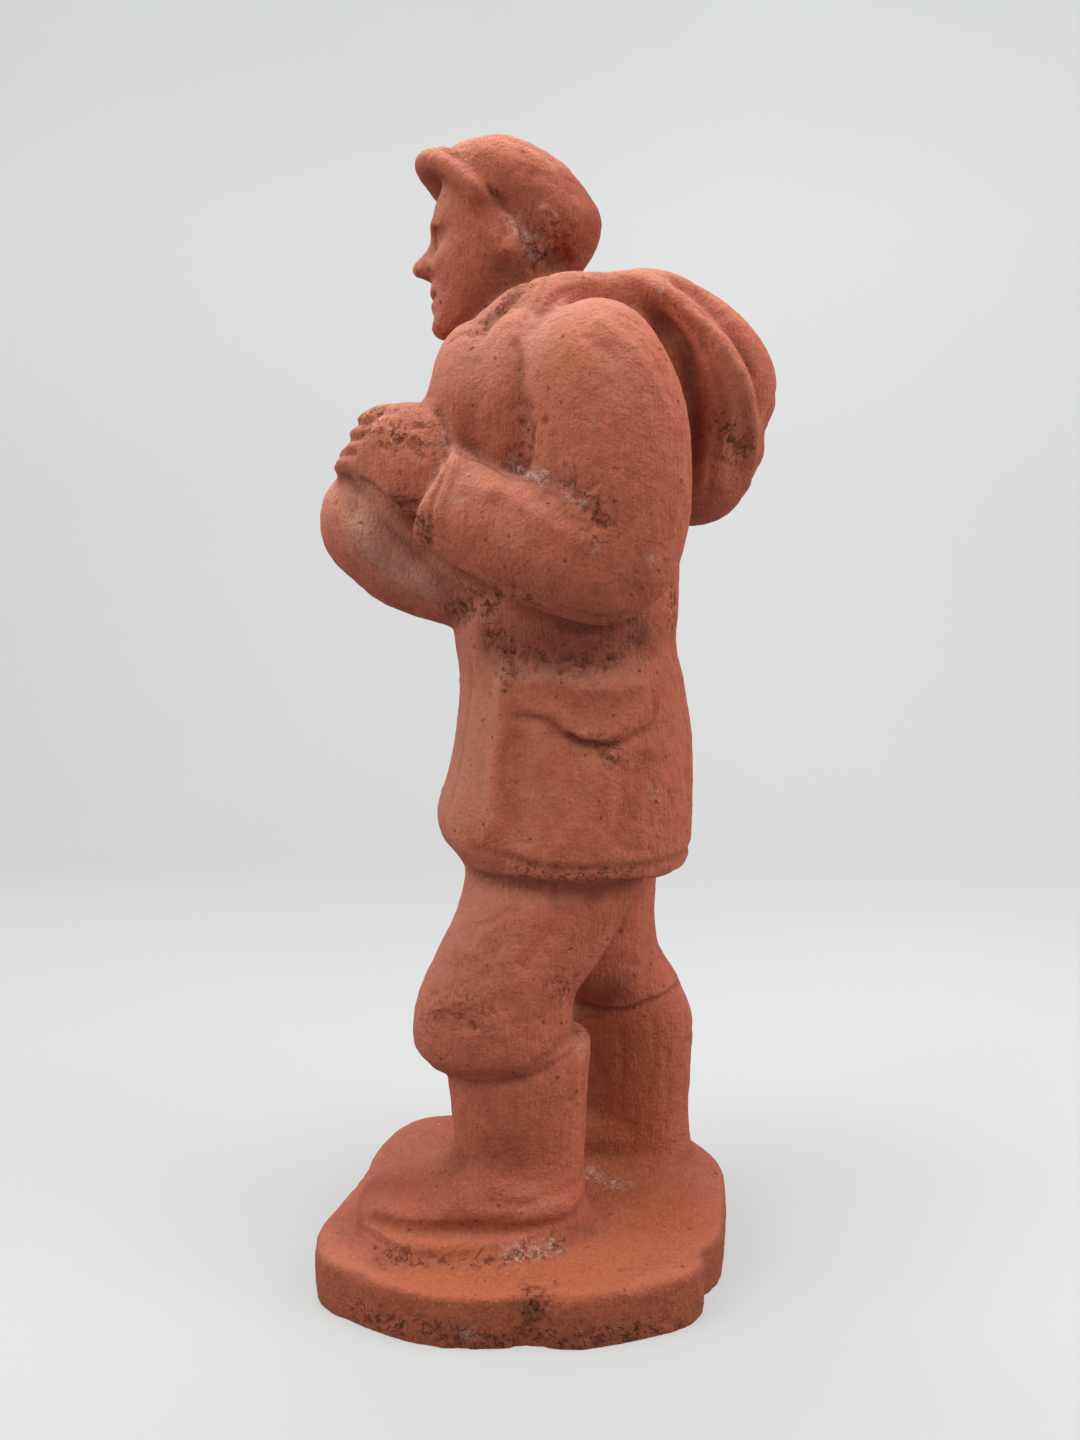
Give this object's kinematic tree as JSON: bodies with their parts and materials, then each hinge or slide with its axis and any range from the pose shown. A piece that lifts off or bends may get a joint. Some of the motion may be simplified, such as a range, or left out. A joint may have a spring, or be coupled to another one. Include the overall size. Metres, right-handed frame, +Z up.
{
  "type": "terracotta figure",
  "caption": "Hand-modelled terracotta figure of a standing worker in a peaked cap, long jacket and tall boots, carrying a sack over the shoulder, on a rounded plinth.",
  "frame": {"origin": "under the middle of the figure's bounding box, on the flat underside of the plinth", "axes": "+Z up, the figure faces -Y and its left side, with the raised fist and the sack's strap, is +X"},
  "size_m": [0.1538, 0.1684, 0.4111],
  "materials": {
    "terracotta": "matt unglazed fired clay with slip marks"
  },
  "bodies": {
    "root": {"carrier_figure": "terracotta"}
  },
  "joints": []
}
